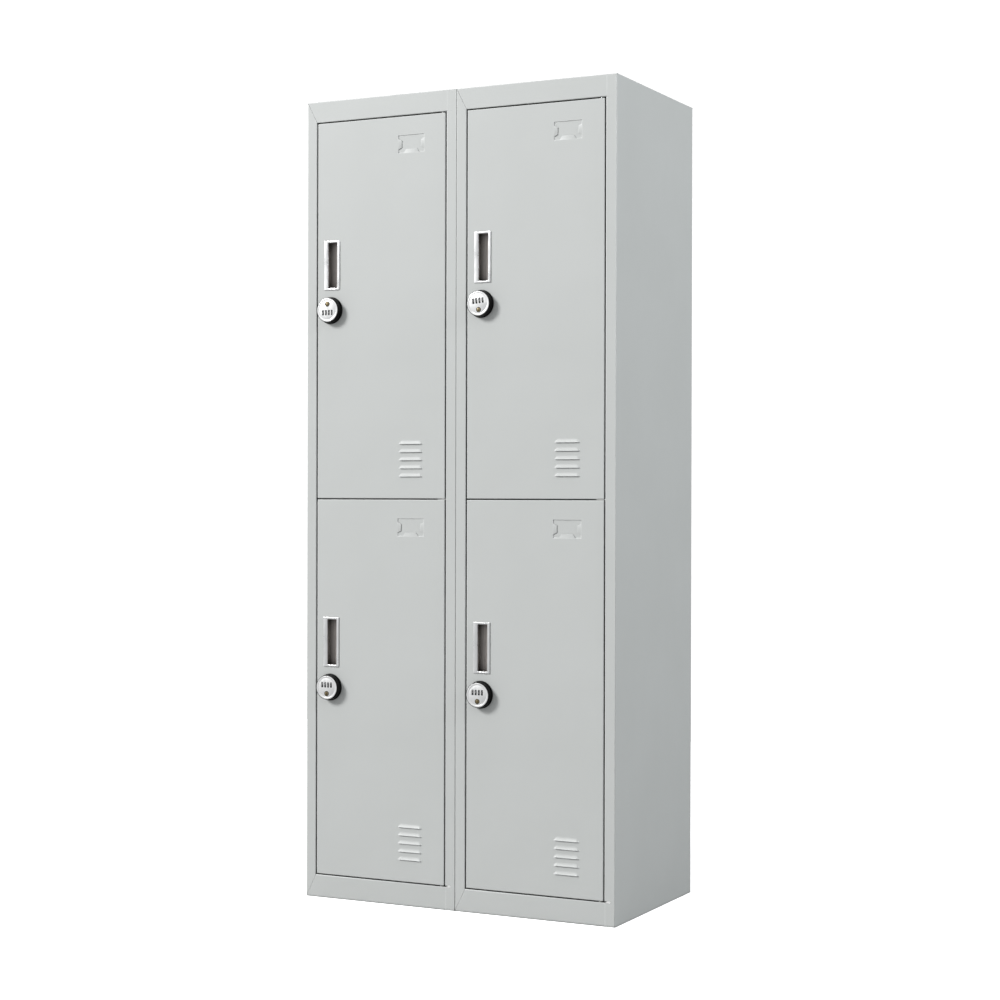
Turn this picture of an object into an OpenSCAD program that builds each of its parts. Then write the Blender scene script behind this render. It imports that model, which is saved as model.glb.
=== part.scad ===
// Steel locker cabinet: two bays bolted side by side, each with two lockers one above the other.
// +X is right, -Y is the front and +Z is up. The origin is on the floor, under the middle of the
// whole cabinet with its locks. Inside a bay, x runs from the bay's left side, y runs back from the
// front face of the frame, and z runs up from the floor.

/* [Cabinet] */
// Width of one bay
bay_w = 392; // [386:1:400]
// Depth of the carcass, without the locks
cabinet_d = 450; // [430:5:500]
// Height from the floor to the top
cabinet_h = 1850; // [1750:10:1950]

/* [Sheet metal] */
// Thickness of every folded panel
sheet_t = 0.8; // [0.7:0.05:0.9]
// Outside radius of every fold
fold_r = 2; // [1.8:0.1:2.2]

/* [Front frame] */
// Width of the upright on each side of a bay
stile_w = 25.5; // [24:0.5:28]
// Height of the rail above the doors
top_rail_h = 48.8; // [44:0.2:54]
// Height of the kick rail below the doors
kick_rail_h = 52.3; // [48:0.1:58]
// Gap around every door
door_gap = 2.4; // [2.2:0.1:2.8]
// How far each door stop reaches past its upright or rail
stop_w = 12; // [10:0.5:14]
// Width of the open groove where an upright and a rail meet on the left
mitre_gap = 0.6; // [0.4:0.1:0.8]

/* [Doors] */
// Depth of the folded door
door_t = 18; // [17:0.5:18.5]
// Distance from the hinge axis to the door's hinge edge
pivot_inset = 9; // [8.6:0.1:9.2]
// Depth of the hinge axis behind the door's front
pivot_depth = 6; // [5.6:0.1:6.2]
// Diameter of the hinge pins
pin_d = 5; // [4.5:0.1:5.2]
// Radial clearance of every running fit
running_fit = 0.06; // [0.04:0.01:0.09]

/* [Pull handle] */
// Distance from the edge of the door to the middle of the handle
handle_inset = 39; // [38:0.5:40]
// Width of the bright flange
handle_w = 42; // [40:1:44]
// Height of the bright flange
handle_h = 115; // [110:1:120]
// How far the middle of the cup lies to the right of the middle of the flange
cup_shift = 2.1; // [0:0.1:2.5]
// Width of the finger cup
cup_w = 24; // [22:1:26]
// Height of the finger cup
cup_h = 105; // [100:1:108]
// How far the cup reaches under the flange on the left, where fingers hook in
finger_grip = 5; // [0:0.5:6]
// Height of the handle's middle above the lock
handle_rise = 104.5; // [100:0.5:110]

/* [Combination lock] */
// Diameter of the base plate on the door
lock_base_d = 62; // [61:1:64]
// How far the lock stands out from the door
lock_proud = 17; // [16.5:0.1:17.5]
// Diameter of the bright face
lock_face_d = 54; // [53:0.5:55]
// Distance from the edge of the door to the middle of the lock
lock_inset = 36; // [35:0.5:37]
// Diameter of a number wheel
wheel_d = 12.8; // [12.4:0.1:12.8]
// Distance from one number wheel to the next
wheel_pitch = 7.8; // [7.4:0.1:8]
// Height of the number wheels above the middle of the lock
wheel_rise = 6; // [5.5:0.1:6.2]
// Distance of the key plug below the middle of the lock
key_drop = 14; // [13.5:0.5:15]
// Diameter of the key plug
key_d = 12; // [11:0.5:12]
// Distance from the lock's axis to the tip of the cam
cam_reach = 38; // [36:1:40]

/* [Vents and card holder] */
// Distance from the edge of the door to the middle of the vents and the card holder
vent_inset = 248; // [240:1:252]
// Number of louvres in a door
louvre_count = 5; // [3:1:6]
// Distance from one louvre to the next
louvre_pitch = 18.5; // [17:0.5:20]
// Height of the lowest louvre above the bottom of the door
louvre_foot = 48.8; // [45:0.2:60]
// How far a louvre stands out from the door
louvre_out = 4; // [3:0.5:5]
// Width of the card holder
card_w = 68; // [64:1:70]
// Height of the card holder
card_h = 41; // [38:1:44]
// Depth of the card holder's floor behind the door's front
card_deep = 1.5; // [1.4:0.1:1.8]
// Distance from the top of the door to the top of the card holder
card_drop = 42.8; // [40:0.2:60]

/* [Inside] */
// Diameter of the clothes rails
rail_d = 16; // [14:1:18]
// Distance of a clothes rail below the roof of its locker
rail_drop = 70; // [65:5:90]

/* [Hidden] */
$fn = 48;
bays = 2;
// Gap between sheets that are welded together, and the small overlap inside one solid
fit_gap = 0.1;
eps = 0.01;
half_t = sheet_t / 2;
mid_r = fold_r - half_t;
front_y = (lock_proud - cabinet_d) / 2;

// Door stops stand just behind the doors. Hidden lips and flanges are one width each.
stop_y = door_t + 1;
flange = 12;
lip = 15;
rear_y = cabinet_d - 2 * (sheet_t + fit_gap);

door_x0 = stile_w + door_gap;
door_x1 = bay_w - stile_w - door_gap;
pivot_x = door_x1 - pivot_inset;
swing_r = norm([pivot_inset, door_t - pivot_depth]);
swing_clear = 1.2;
stop_clear = 0.2;
stop_x0 = stile_w + stop_w + stop_clear;
stop_x1 = pivot_x - 10;
swing_y = pivot_depth + swing_r + swing_clear;

top_door_z1 = cabinet_h - top_rail_h - door_gap;
low_door_z0 = kick_rail_h + door_gap;
door_h = (top_door_z1 - low_door_z0 - door_gap) / 2;
split_z = low_door_z0 + door_h + door_gap / 2;
door_z0 = [low_door_z0, split_z + door_gap / 2];
floor_step = 14;
floor_z = kick_rail_h + floor_step;
shelf_half = 13.5;
shelf_z = split_z + shelf_half;
rail_z = [split_z - rail_drop, cabinet_h - rail_drop];
rail_y = cabinet_d / 2;

pin_r = pin_d / 2;
collar_r = 4;
collar_play = 0.3;
pin_in_door = 9;
pivot_plate_t = 1.6;
pivot_plate_reach = 9.5;

handle_x = door_x0 + handle_inset;
cup_x = handle_x + cup_shift;
cup_wall = 1.4;
cup_lip_t = 0.8;
cavity_w = cup_w + finger_grip;
cavity_x = cup_x - finger_grip / 2;
cup_deep = 14.2;
cup_corner_r = 1.5;
flange_t = 1.8;
flange_corner_r = 1.5;

lock_x = door_x0 + lock_inset;
lock_base_t = 3;
barrel_r = 11;
barrel_end = door_t - 1;
clamp_nut_r = 16;
clamp_nut_t = 5;
hole_clear = 0.2;
spindle_r = 5;
spindle_end = stop_y + sheet_t + 1;
spindle_square = 7;
cam_t = 2;
cam_tip_r = 7;
cam_hub_r = 9;
cam_washer_r = 5.6;
cam_washer_t = 0.8;
cam_screw_r = 3.6;
cam_screw_t = 2;
wheel_r = wheel_d / 2;
wheel_w = 4.4;
wheel_count = 4;
wheel_proud = 0.6;
wheel_notch_r = 0.6;
wheel_y = wheel_r - lock_proud;
face_y = wheel_proud - lock_proud;
face_t = 1.2;
face_rim = 1;
knob_flare = 1.5;
knob_rear = -lock_base_t - 0.2;
axle_r = 1.25;
axle_reach = 16.5;
window_h = 12;
key_slot_w = 1.2;
key_slot_h = 8;

vent_x = door_x0 + vent_inset;
louvre_w = 62;
louvre_top_w = 50;
louvre_h = 8.5;
tongue_reach = 9;
stiffener_x = door_x0 + 137;
stiffener_foot = 24;
stiffener_web = 13;

bolt_inset = 150;
bolt_z = [bolt_inset, split_z, cabinet_h - bolt_inset];
bolt_y = [60, cabinet_d - 50];
bolt_r = 3;
bolt_head_r = 5.5;
bolt_head_t = 3.2;
bolt_nut_r = 5.77;
bolt_nut_t = 4.6;
bolt_tail = 1.4;

rail_wall = 1;
socket_plate_t = 2;
socket_plate_reach = 7;
socket_wall = 2.2;
socket_end = 12;

DOORS = ["upper_left", "lower_left", "upper_right", "lower_right"];
door_bay = [0, 0, 1, 1];
door_tier = [1, 0, 1, 0];
knob_turn = [180, 0, -5, 0];

FIXED = ["left_bay_left_side", "left_bay_right_side", "right_bay_left_side",
    "right_bay_right_side", "top_panels", "bottom_panels", "back_panels", "middle_shelves",
    "hinge_pivots", "joining_bolts", "clothes_rails", "rail_sockets"];
ON_DOOR = ["door", "door_stiffener", "pull_handle", "lock_base", "lock_knob", "lock_face",
    "lock_cam", "key_plug"];

paint = [0.79, 0.80, 0.79];
silver = [0.80, 0.81, 0.82];
black = [0.08, 0.08, 0.09];
steel = [0.62, 0.63, 0.65];
brass = [0.70, 0.58, 0.32];

// ---- Folded sheet ----

// One flat run of sheet seen on edge, from a to b along the middle of its thickness. Its ends are
// shortened by the radius of the fold that follows.
module flat_run(a, b, fold_at_a, fold_at_b) {
    dir = (b - a) / norm(b - a);
    p = a + (fold_at_a ? mid_r : 0) * dir;
    q = b - (fold_at_b ? mid_r : 0) * dir;
    side = [abs(dir.y), abs(dir.x)] * half_t;
    low = [min(p.x, q.x), min(p.y, q.y)] - side;
    translate(low) square([abs(q.x - p.x), abs(q.y - p.y)] + 2 * side);
}

// One right-angled fold at the corner c, between the runs that come from a and go to b
module fold(a, c, b) {
    dir_in = (c - a) / norm(c - a);
    dir_out = (b - c) / norm(b - c);
    centre = c + (dir_out - dir_in) * mid_r;
    far = centre + (dir_in - dir_out) * fold_r;
    low = [min(centre.x, far.x), min(centre.y, far.y)];
    intersection() {
        translate(centre) difference() {
            circle(r = fold_r);
            circle(r = fold_r - sheet_t);
        }
        translate(low) square(fold_r);
    }
}

// A strip of folded sheet seen on edge: points are the corners of the middle of its thickness
module folded(points) {
    last = len(points) - 1;
    for (i = [0 : last - 1])
        flat_run(points[i], points[i + 1], i > 0, i < last - 1);
    for (i = [1 : last - 1])
        fold(points[i - 1], points[i], points[i + 1]);
}

// Turns a side view, drawn as [y, z], into a solid that runs along x from x0 to x1
module along_x(x0, x1) {
    translate([x0, 0, 0]) rotate([90, 0, 90]) linear_extrude(x1 - x0) children();
}

// Turns a front view, drawn as [x, z], into a solid that runs back along y from y0 to y1
module along_y(y0, y1) {
    translate([0, y1, 0]) rotate([90, 0, 0]) linear_extrude(y1 - y0) children();
}

// A round bar along y from y0 to y1
module bar_y(r, y0, y1) {
    translate([0, y0, 0]) rotate([-90, 0, 0]) cylinder(r = r, h = y1 - y0);
}

// A round bar along x from x0 to x1
module bar_x(r, x0, x1) {
    translate([x0, 0, 0]) rotate([0, 90, 0]) cylinder(r = r, h = x1 - x0);
}

// A rectangle with round corners, drawn around its middle
module rounded_rectangle(w, h, r) {
    square([w - 2 * r, h], center = true);
    square([w, h - 2 * r], center = true);
    for (sx = [-1, 1], sz = [-1, 1])
        translate([sx * (w / 2 - r), sz * (h / 2 - r)]) circle(r = r);
}

module in_bay(bay) {
    translate([(bay - bays / 2) * bay_w, front_y, 0]) children();
}

// ---- Carcass ----

// The front view of what lies outside the slanting joint between the left upright and a rail.
// The joint runs from the cabinet's corner to the corner of the door opening, and grow moves the
// cut across the joint.
module outside_mitre(rail_h, grow) {
    shift = grow / (rail_h / norm([stile_w, rail_h]));
    polygon([[-5 + shift, 0], [shift, 0], [stile_w + shift, rail_h],
        [stile_w + 10, rail_h], [stile_w + 10, -5], [-5 + shift, -5]]);
}

module mitre_cut(rail_h, grow, y0, y1) {
    along_y(y0, y1) outside_mitre(rail_h, grow);
}

// The top of a side panel stays clear of the folds of the top panel
module under_top_panel(x) {
    translate([x, cabinet_d - fold_r, cabinet_h - fold_r - fit_gap])
        cube([stile_w + 2, fold_r + 1, fold_r + 1]);
}

// The flange along the foot of a side panel, from x inwards
module foot_flange(x) {
    translate([x, stop_y + 2, 0]) cube([lip, rear_y - stop_y - 4, sheet_t]);
}

// Side panel with the upright and the door stop of the lock side
module lock_side_panel(joined) {
    inner = [stile_w + stop_w, stop_y, top_rail_h + 1];
    color(paint) difference() {
        union() {
            linear_extrude(cabinet_h - sheet_t - fit_gap) folded([
                [flange, cabinet_d - half_t],
                [half_t, cabinet_d - half_t],
                [half_t, half_t],
                [stile_w - half_t, half_t],
                [stile_w - half_t, stop_y + half_t],
                [stile_w + stop_w, stop_y + half_t]]);
            foot_flange(half_t);
        }
        translate([fold_r + eps, fold_r, cabinet_h - top_rail_h - fit_gap]) cube(inner);
        translate([fold_r + eps, fold_r, -1]) cube([inner.x, inner.y, kick_rail_h + fit_gap + 1]);
        mitre_cut(kick_rail_h, -mitre_gap / 2, -1, fold_r + eps);
        translate([0, 0, cabinet_h]) mirror([0, 0, 1])
            mitre_cut(top_rail_h, -mitre_gap / 2, -1, fold_r + eps);
        under_top_panel(-1);
        if (joined) joining_holes(0);
    }
}

// Side panel with the upright of the hinge side, whose return turns outwards. Beside the rails the
// upright is flat, so that it meets them edge to edge.
module hinge_side_panel(joined) {
    x0 = bay_w - stile_w;
    rail_h = [kick_rail_h, top_rail_h - fold_r];
    rail_z0 = [0, cabinet_h - top_rail_h];
    color(paint) difference() {
        union() {
            difference() {
                linear_extrude(cabinet_h - sheet_t - fit_gap) folded([
                    [bay_w - flange, cabinet_d - half_t],
                    [bay_w - half_t, cabinet_d - half_t],
                    [bay_w - half_t, half_t],
                    [x0 + half_t, half_t],
                    [x0 + half_t, stop_y + half_t],
                    [x0 + stop_w, stop_y + half_t]]);
                for (i = [0, 1])
                    translate([x0 - 1, -1, rail_z0[i] - i * fit_gap - (1 - i)])
                        cube([stop_w + 3, stop_y + 3, rail_h[i] + fold_r + 2]);
            }
            for (i = [0, 1])
                translate([x0 + fold_r, 0, rail_z0[i]]) cube([stop_w + 1, sheet_t, rail_h[i] - fit_gap]);
            foot_flange(bay_w - half_t - lip);
        }
        translate([x0 - 1, -1, cabinet_h - fold_r - fit_gap])
            cube([stile_w + 2, fold_r + 1, fold_r + 1]);
        under_top_panel(bay_w - stile_w);
        if (joined) joining_holes(bay_w);
    }
}

// Holes for the joining bolts, in the side panel whose outer face is at x
module joining_holes(x) {
    for (y = bolt_y, z = bolt_z)
        translate([x, y, z]) bar_x(bolt_r + hole_clear, -2, 2);
}

// The parts of a rail that would run into the uprights: notches for the left upright with its
// stop, and for the sweep of the hinge edge of a door
module frame_notches(z0, z1) {
    translate([-1, fold_r, z0]) cube([stop_x0 + 1, stop_y + sheet_t + stop_clear - fold_r, z1 - z0]);
    translate([stop_x1, fold_r, z0]) cube([bay_w, swing_y - fold_r, z1 - z0]);
}

module top_panel() {
    rail_z0 = cabinet_h - top_rail_h;
    color(paint) difference() {
        along_x(0, bay_w) folded([
            [cabinet_d - half_t, cabinet_h - lip],
            [cabinet_d - half_t, cabinet_h - half_t],
            [half_t, cabinet_h - half_t],
            [half_t, rail_z0 + half_t],
            [stop_y + half_t, rail_z0 + half_t],
            [stop_y + half_t, rail_z0 - stop_w]]);
        translate([0, 0, cabinet_h]) mirror([0, 0, 1]) rail_end_cuts(top_rail_h);
        frame_notches(rail_z0 - stop_w - 1, rail_z0);
        translate([-1, fold_r, rail_z0 - 1]) cube([stile_w - sheet_t + 1, stop_y, fold_r + 2]);
        translate([bay_w - stile_w - fit_gap, fold_r, rail_z0 - 1])
            cube([stile_w + 1, stop_y, fold_r + 2]);
        for (x = [-1, bay_w - flange - fit_gap])
            translate([x, cabinet_d - fold_r, cabinet_h - lip - 1])
                cube([flange + 1 + fit_gap, fold_r + 1, lip + 1 - fold_r]);
    }
}

// What is taken off the front ends of a rail, drawn for the kick rail: the slanting joint on the
// left and the upright on the right
module rail_end_cuts(rail_h) {
    difference() {
        translate([-1, -1, -1]) cube([stile_w + 1, fold_r + 1 + eps, rail_h + 1]);
        mitre_cut(rail_h, mitre_gap / 2, -2, fold_r + 1);
    }
    translate([bay_w - stile_w + fold_r, -1, fold_r]) cube([stile_w, fold_r + 1 + eps, rail_h]);
}

module bottom_panel() {
    color(paint) difference() {
        along_x(0, bay_w) folded([
            [lip, half_t],
            [half_t, half_t],
            [half_t, kick_rail_h - half_t],
            [stop_y + half_t, kick_rail_h - half_t],
            [stop_y + half_t, floor_z - half_t],
            [rear_y - half_t, floor_z - half_t],
            [rear_y - half_t, floor_z - lip]]);
        rail_end_cuts(kick_rail_h);
        frame_notches(kick_rail_h, floor_z + 1);
        for (x = [-1, bay_w - sheet_t - fit_gap])
            translate([x, fold_r, -1]) cube([sheet_t + fit_gap + 1, cabinet_d, floor_z + 2]);
        translate([-1, fold_r, kick_rail_h - fold_r])
            cube([stile_w - sheet_t + 1, stop_y - 1, fold_r + 1]);
        translate([bay_w - stile_w - fit_gap, fold_r, kick_rail_h - fold_r])
            cube([stile_w + 1, stop_y - 1, fold_r + 1]);
        translate([bay_w - stile_w + fold_r, -1, -1]) cube([stile_w, fold_r + 1 + eps, fold_r + 2]);
    }
}

// The back lies against the rear flanges, clear of the folds all round
module back_panel() {
    inset = fold_r + fit_gap;
    color(paint) translate([inset, rear_y + fit_gap, inset])
        cube([bay_w - 2 * inset, sheet_t, cabinet_h - 2 * inset]);
}

module middle_shelf() {
    inset = sheet_t + fit_gap;
    color(paint) difference() {
        along_x(inset, bay_w - inset) folded([
            [stop_y + flange, split_z - shelf_half + half_t],
            [stop_y + half_t, split_z - shelf_half + half_t],
            [stop_y + half_t, shelf_z - half_t],
            [rear_y - half_t, shelf_z - half_t],
            [rear_y - half_t, shelf_z - lip]]);
        frame_notches(split_z - shelf_half - 1, shelf_z + 1);
    }
}

// ---- Pivot hinges ----

// A pin welded to a rail, pointing up into the door above it; the collar carries the door
module rail_pin() {
    cylinder(r = collar_r, h = door_gap - collar_play);
    cylinder(r = pin_r, h = door_gap + pin_in_door);
}

module hinge_pivots() {
    color(steel) for (bay = [0, 1]) in_bay(bay) {
        translate([pivot_x, pivot_depth, kick_rail_h]) rail_pin();
        translate([pivot_x, pivot_depth, cabinet_h - top_rail_h]) mirror([0, 0, 1]) rail_pin();
        translate([pivot_x - pivot_plate_reach, 1.5, split_z - pivot_plate_t / 2])
            cube([bay_w - stile_w - pivot_x + pivot_plate_reach, door_t - 2, pivot_plate_t]);
        translate([pivot_x, pivot_depth, split_z - pin_in_door])
            cylinder(r = pin_r, h = 2 * pin_in_door);
    }
}

// ---- Doors ----

// The plan of a closed door, a block with its two front corners rounded like its folds
module door_plan() {
    translate([door_x0, fold_r]) square([door_x1 - door_x0, door_t - fold_r]);
    translate([door_x0 + fold_r, 0]) square([door_x1 - door_x0 - 2 * fold_r, door_t]);
    for (x = [door_x0 + fold_r, door_x1 - fold_r])
        translate([x, fold_r]) circle(r = fold_r);
}

module door_tray() {
    translate([0, 0, fold_r]) linear_extrude(door_h - 2 * fold_r) folded([
        [door_x0 + flange + 2, door_t - half_t],
        [door_x0 + half_t, door_t - half_t],
        [door_x0 + half_t, half_t],
        [door_x1 - half_t, half_t],
        [door_x1 - half_t, door_t - half_t],
        [door_x1 - flange - 2, door_t - half_t]]);
    intersection() {
        along_x(door_x0, door_x1) for (end = [0, 1])
            translate([0, end * door_h]) mirror([0, end]) folded([
                [door_t, half_t],
                [half_t, half_t],
                [half_t, fold_r + 1]]);
        linear_extrude(door_h) door_plan();
    }
}

// The louvre hood, or the space under it when it is drawn one sheet smaller all round
module louvre_body(less) {
    intersection() {
        along_x(-louvre_w / 2 + less, louvre_w / 2 - less) polygon([
            [0.3, louvre_h - less],
            [less - louvre_out, 0.9 - less],
            [less - louvre_out, -less],
            [0.3, -less]]);
        along_y(-louvre_out - 1, 1) polygon([
            [less - louvre_w / 2, -less],
            [louvre_w / 2 - less, -less],
            [louvre_top_w / 2 - less, louvre_h - less],
            [less - louvre_top_w / 2, louvre_h - less]]);
    }
}

// One tongue of the card holder, growing up from z = 0
module card_tongue(base, tip) {
    along_y(0, sheet_t) polygon([[-base / 2, -eps], [base / 2, -eps],
        [tip / 2, tongue_reach], [-tip / 2, tongue_reach]]);
}

module card_holder() {
    difference() {
        translate([-card_w / 2 - sheet_t, 0, -card_h / 2 - sheet_t])
            cube([card_w + 2 * sheet_t, card_deep + sheet_t, card_h + 2 * sheet_t]);
        translate([-card_w / 2, -1, -card_h / 2]) cube([card_w, card_deep + 1, card_h]);
    }
    translate([0, 0, -card_h / 2]) card_tongue(41, 29);
    translate([-card_w / 2, 0, 0]) rotate([0, 90, 0]) card_tongue(25, 17);
    translate([card_w / 2, 0, 0]) rotate([0, -90, 0]) card_tongue(25, 17);
}

// Places children on one door: x and y as in the bay, z from the bottom of the door
module on_door(d) {
    in_bay(door_bay[d]) translate([0, 0, door_z0[door_tier[d]]]) children();
}

module at_lock(d) {
    on_door(d) translate([lock_x, 0, door_h / 2]) children();
}

module in_knob(d) {
    at_lock(d) rotate([0, knob_turn[d], 0]) children();
}

module door(d) {
    card_z = door_h - card_drop - card_h / 2;
    color(paint) on_door(d) difference() {
        union() {
            difference() {
                door_tray();
                translate([vent_x - card_w / 2, -1, card_z - card_h / 2])
                    cube([card_w, sheet_t + 2, card_h]);
            }
            translate([vent_x, 0, card_z]) card_holder();
            for (i = [0 : louvre_count - 1])
                translate([vent_x, 0, louvre_foot + i * louvre_pitch]) louvre_body(0);
        }
        for (i = [0 : louvre_count - 1])
            translate([vent_x, 0, louvre_foot + i * louvre_pitch]) louvre_slot();
        translate([cavity_x, 0, door_h / 2 + handle_rise]) along_y(-1, 2)
            square([cavity_w, cup_h] + [1, 1] * 2 * (cup_wall + hole_clear), center = true);
        translate([lock_x, 0, door_h / 2]) bar_y(barrel_r + hole_clear, -1, 2);
        for (z = [-1, door_h - 2])
            translate([pivot_x, pivot_depth, z]) cylinder(r = pin_r + running_fit, h = 3);
    }
}

// The air slot behind a louvre, open downwards under the hood
module louvre_slot() {
    louvre_body(sheet_t);
    translate([-louvre_top_w / 2 + 1, -0.5, 0]) cube([louvre_top_w - 2, 2, louvre_h - 2]);
}

module door_stiffener(d) {
    web = stiffener_web;
    y0 = sheet_t + half_t;
    color(paint) on_door(d) translate([stiffener_x, 0, stiffener_foot])
        linear_extrude(door_h - 2 * stiffener_foot) folded([
            [-web - flange, y0],
            [-web, y0],
            [-web, y0 + web],
            [web, y0 + web],
            [web, y0],
            [web + flange, y0]]);
}

module pull_handle(d) {
    color(silver) on_door(d) translate([0, 0, door_h / 2 + handle_rise]) difference() {
        union() {
            translate([handle_x, 0, 0]) along_y(-flange_t, 0)
                rounded_rectangle(handle_w, handle_h, flange_corner_r);
            translate([cavity_x, 0, 0]) along_y(-eps, cup_deep + cup_wall)
                rounded_rectangle(cavity_w + 2 * cup_wall, cup_h + 2 * cup_wall, cup_corner_r + 1);
        }
        translate([cup_x, 0, 0]) along_y(-flange_t - 1, cup_deep)
            rounded_rectangle(cup_w, cup_h, cup_corner_r);
        translate([cavity_x, 0, 0]) along_y(cup_lip_t, cup_deep)
            rounded_rectangle(cavity_w, cup_h, cup_corner_r);
    }
}

// ---- Combination lock ----

module lock_base(d) {
    color(black) at_lock(d) {
        difference() {
            union() {
                bar_y(lock_base_d / 2, -lock_base_t, 0);
                bar_y(barrel_r, -eps, barrel_end);
            }
            bar_y(spindle_r + running_fit, -lock_base_t - 1, barrel_end + 1);
        }
        difference() {
            translate([0, sheet_t, 0]) rotate([-90, 0, 0])
                cylinder(r = clamp_nut_r, h = clamp_nut_t, $fn = 6);
            bar_y(barrel_r + 0.05, 0, clamp_nut_t + 2);
        }
    }
}

// The place of the middle of number wheel i, counted from the left
function wheel_x(i) = (i - (wheel_count + 1) / 2) * wheel_pitch;

module lock_knob(d) {
    slot_w = wheel_w + 0.4;
    slot_r = wheel_r + 0.3;
    color(black) in_knob(d) {
        difference() {
            union() {
                translate([0, face_y, 0]) rotate([-90, 0, 0])
                    cylinder(r1 = lock_face_d / 2 + face_rim, r2 = lock_base_d / 2 - knob_flare,
                        h = knob_rear - face_y);
                bar_y(spindle_r, knob_rear - eps, spindle_end);
                translate([-spindle_square / 2, spindle_end - eps, -spindle_square / 2])
                    cube([spindle_square, cam_t, spindle_square]);
            }
            bar_y(lock_face_d / 2 + 0.05, face_y - 1, face_y + face_t);
            for (i = [1 : wheel_count]) translate([wheel_x(i), wheel_y, wheel_rise]) {
                bar_x(slot_r, -slot_w / 2, slot_w / 2);
                translate([-slot_w / 2, face_y - wheel_y, -window_h / 2])
                    cube([slot_w, wheel_y - face_y, window_h]);
            }
            translate([0, wheel_y, wheel_rise]) bar_x(axle_r + 0.05, -axle_reach - 0.5, axle_reach + 0.5);
            translate([0, 0, -key_drop]) bar_y(key_d / 2 + running_fit, face_y - 1, knob_rear - 2);
        }
        translate([0, wheel_y, wheel_rise]) bar_x(axle_r, -axle_reach, axle_reach);
    }
}

module lock_face(d) {
    color(silver) in_knob(d) difference() {
        bar_y(lock_face_d / 2, face_y, face_y + face_t);
        for (i = [1 : wheel_count])
            translate([wheel_x(i), 0, wheel_rise]) along_y(face_y - 1, face_y + face_t + 1)
                square([wheel_w + 0.4, window_h], center = true);
        translate([0, 0, -key_drop])
            bar_y(key_d / 2 + running_fit, face_y - 1, face_y + face_t + 1);
    }
}

module number_wheel(d, i) {
    color(black) in_knob(d) translate([wheel_x(i), wheel_y, wheel_rise]) difference() {
        bar_x(wheel_r, -wheel_w / 2, wheel_w / 2);
        bar_x(axle_r + running_fit, -wheel_w, wheel_w);
        for (k = [0 : 9])
            rotate([k * 36, 0, 0]) translate([0, 0, wheel_r + wheel_notch_r / 2])
                bar_x(wheel_notch_r, -wheel_w, wheel_w);
    }
}

module key_plug(d) {
    color(brass) in_knob(d) translate([0, 0, -key_drop]) difference() {
        bar_y(key_d / 2, face_y - 0.5, knob_rear - 2.2);
        translate([-key_slot_w / 2, face_y - 1, -key_slot_h / 2]) cube([key_slot_w, 8, key_slot_h]);
    }
}

module lock_cam(d) {
    washer_y = spindle_end + cam_t;
    color(steel) at_lock(d) {
        difference() {
            along_y(spindle_end, washer_y) {
                circle(r = cam_hub_r);
                translate([0, cam_tip_r - cam_reach]) circle(r = cam_tip_r);
                translate([-cam_tip_r, cam_tip_r - cam_reach])
                    square([2 * cam_tip_r, cam_reach - cam_tip_r]);
            }
            rotate([0, knob_turn[d], 0]) translate([0, spindle_end + cam_t / 2, 0])
                cube([spindle_square + 0.1, 2 * cam_t, spindle_square + 0.1], center = true);
        }
        bar_y(cam_washer_r, washer_y, washer_y + cam_washer_t);
        bar_y(cam_screw_r, washer_y + cam_washer_t - eps, washer_y + cam_washer_t + cam_screw_t);
    }
}

// ---- Inside ----

module clothes_rails() {
    color(steel) for (bay = [0, 1], z = rail_z) in_bay(bay) translate([0, rail_y, z]) difference() {
        bar_x(rail_d / 2, sheet_t + socket_plate_t + 0.2, bay_w - sheet_t - socket_plate_t - 0.2);
        bar_x(rail_d / 2 - rail_wall, 0, bay_w);
    }
}

// A round cup screwed to the side panel, with its base at x = 0
module rail_socket() {
    difference() {
        union() {
            bar_x(rail_d / 2 + socket_plate_reach, 0, socket_plate_t);
            bar_x(rail_d / 2 + socket_wall, socket_plate_t - eps, socket_end);
        }
        bar_x(rail_d / 2 + fit_gap, socket_plate_t, socket_end + 1);
    }
}

module rail_sockets() {
    color(black) for (bay = [0, 1], z = rail_z) in_bay(bay) {
        translate([sheet_t, rail_y, z]) rail_socket();
        translate([bay_w - sheet_t, rail_y, z]) mirror([1, 0, 0]) rail_socket();
    }
}

module joining_bolts() {
    color(steel) for (y = bolt_y, z = bolt_z) translate([0, front_y + y, z]) {
        bar_x(bolt_r, -sheet_t - eps, sheet_t + bolt_nut_t + bolt_tail);
        translate([-sheet_t, 0, 0]) mirror([1, 0, 0]) bar_x(bolt_head_r, 0, bolt_head_t);
        difference() {
            translate([sheet_t, 0, 0]) rotate([0, 90, 0])
                cylinder(r = bolt_nut_r, h = bolt_nut_t, $fn = 6);
            bar_x(bolt_r + 0.02, 0, 8);
        }
    }
}

// ---- Nodes ----

in_bay(0) lock_side_panel(false);  // left_bay_left_side
in_bay(0) hinge_side_panel(true);  // left_bay_right_side
in_bay(1) lock_side_panel(true);  // right_bay_left_side
in_bay(1) hinge_side_panel(false);  // right_bay_right_side
for (bay = [0, 1]) in_bay(bay) top_panel();  // top_panels
for (bay = [0, 1]) in_bay(bay) bottom_panel();  // bottom_panels
for (bay = [0, 1]) in_bay(bay) back_panel();  // back_panels
for (bay = [0, 1]) in_bay(bay) middle_shelf();  // middle_shelves
hinge_pivots();
joining_bolts();
clothes_rails();
rail_sockets();
for (d = [0 : 3]) {
    door(d);
    door_stiffener(d);
    pull_handle(d);
    lock_base(d);
    lock_knob(d);
    lock_face(d);
    lock_cam(d);
    key_plug(d);
    for (w = [1 : wheel_count])
        number_wheel(d, w);
}
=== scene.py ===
import math

import bmesh
import bpy
from mathutils import Matrix, Vector


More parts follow.
